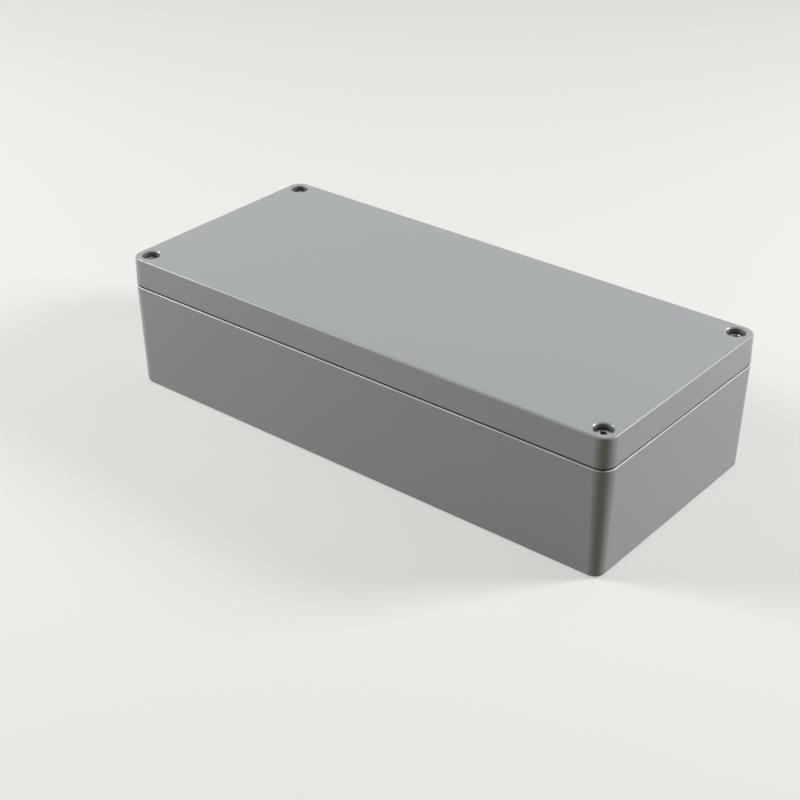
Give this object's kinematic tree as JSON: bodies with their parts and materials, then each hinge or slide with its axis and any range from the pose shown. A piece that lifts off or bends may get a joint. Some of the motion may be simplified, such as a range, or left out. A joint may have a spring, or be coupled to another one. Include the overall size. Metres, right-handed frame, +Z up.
{
  "type": "die-cast aluminium box",
  "caption": "Long grey sealed die-cast metal box: a deep drafted base with a shallow lid held by captive cross-recess screws sunk in its corners.",
  "frame": {"origin": "centre of the foot, on the surface that the box stands on", "axes": "+X along the length, +Y across the width, away from the front face, +Z up through the lid"},
  "size_m": [0.36, 0.16, 0.09],
  "materials": {
    "powder_coat": "satin",
    "seal_rubber": "matte",
    "screw_steel": "satin",
    "earth_brass": "satin",
    "nylon": "matte"
  },
  "bodies": {
    "base": {"base_casting": "powder_coat", "base_earth_screw": "screw_steel", "base_earth_spring_washer": "screw_steel", "base_earth_clamp": "earth_brass"},
    "lid": {"lid_casting": "powder_coat", "lid_gasket": "seal_rubber", "lid_earth_screw": "screw_steel", "lid_earth_spring_washer": "screw_steel", "lid_earth_clamp": "earth_brass"},
    "washer_1": {"screw_washer_1": "nylon"},
    "screw_1": {"lid_screw_1": "screw_steel"},
    "washer_2": {"screw_washer_2": "nylon"},
    "screw_2": {"lid_screw_2": "screw_steel"},
    "washer_3": {"screw_washer_3": "nylon"},
    "screw_3": {"lid_screw_3": "screw_steel"},
    "washer_4": {"screw_washer_4": "nylon"},
    "screw_4": {"lid_screw_4": "screw_steel"}
  },
  "joints": [
    {"name": "lid_lift", "type": "slide", "parent": "base", "child": "lid", "axis": [0, 0, 1], "range_m": [0, 0.12]},
    {"name": "screw_1_rise", "type": "slide", "parent": "lid", "child": "washer_1", "axis": [0, 0, 1], "range_m": [0, 0.0079]},
    {"name": "screw_1_turn", "type": "hinge", "parent": "washer_1", "child": "screw_1", "pos_m": [0.17, 0.07, 0.082], "axis": [0, 0, 1], "range_deg": [0, 2844]},
    {"name": "screw_2_rise", "type": "slide", "parent": "lid", "child": "washer_2", "axis": [0, 0, 1], "range_m": [0, 0.0079]},
    {"name": "screw_2_turn", "type": "hinge", "parent": "washer_2", "child": "screw_2", "pos_m": [-0.17, 0.07, 0.082], "axis": [0, 0, 1], "range_deg": [0, 2844]},
    {"name": "screw_3_rise", "type": "slide", "parent": "lid", "child": "washer_3", "axis": [0, 0, 1], "range_m": [0, 0.0079]},
    {"name": "screw_3_turn", "type": "hinge", "parent": "washer_3", "child": "screw_3", "pos_m": [-0.17, -0.07, 0.082], "axis": [0, 0, 1], "range_deg": [0, 2844]},
    {"name": "screw_4_rise", "type": "slide", "parent": "lid", "child": "washer_4", "axis": [0, 0, 1], "range_m": [0, 0.0079]},
    {"name": "screw_4_turn", "type": "hinge", "parent": "washer_4", "child": "screw_4", "pos_m": [0.17, -0.07, 0.082], "axis": [0, 0, 1], "range_deg": [0, 2844]}
  ],
  "couplings": [
    {"joint": "screw_1_turn", "follows": "screw_1_rise", "rad_per_m": 6283.2},
    {"joint": "screw_2_turn", "follows": "screw_2_rise", "rad_per_m": 6283.2},
    {"joint": "screw_3_turn", "follows": "screw_3_rise", "rad_per_m": 6283.2},
    {"joint": "screw_4_turn", "follows": "screw_4_rise", "rad_per_m": 6283.2}
  ]
}
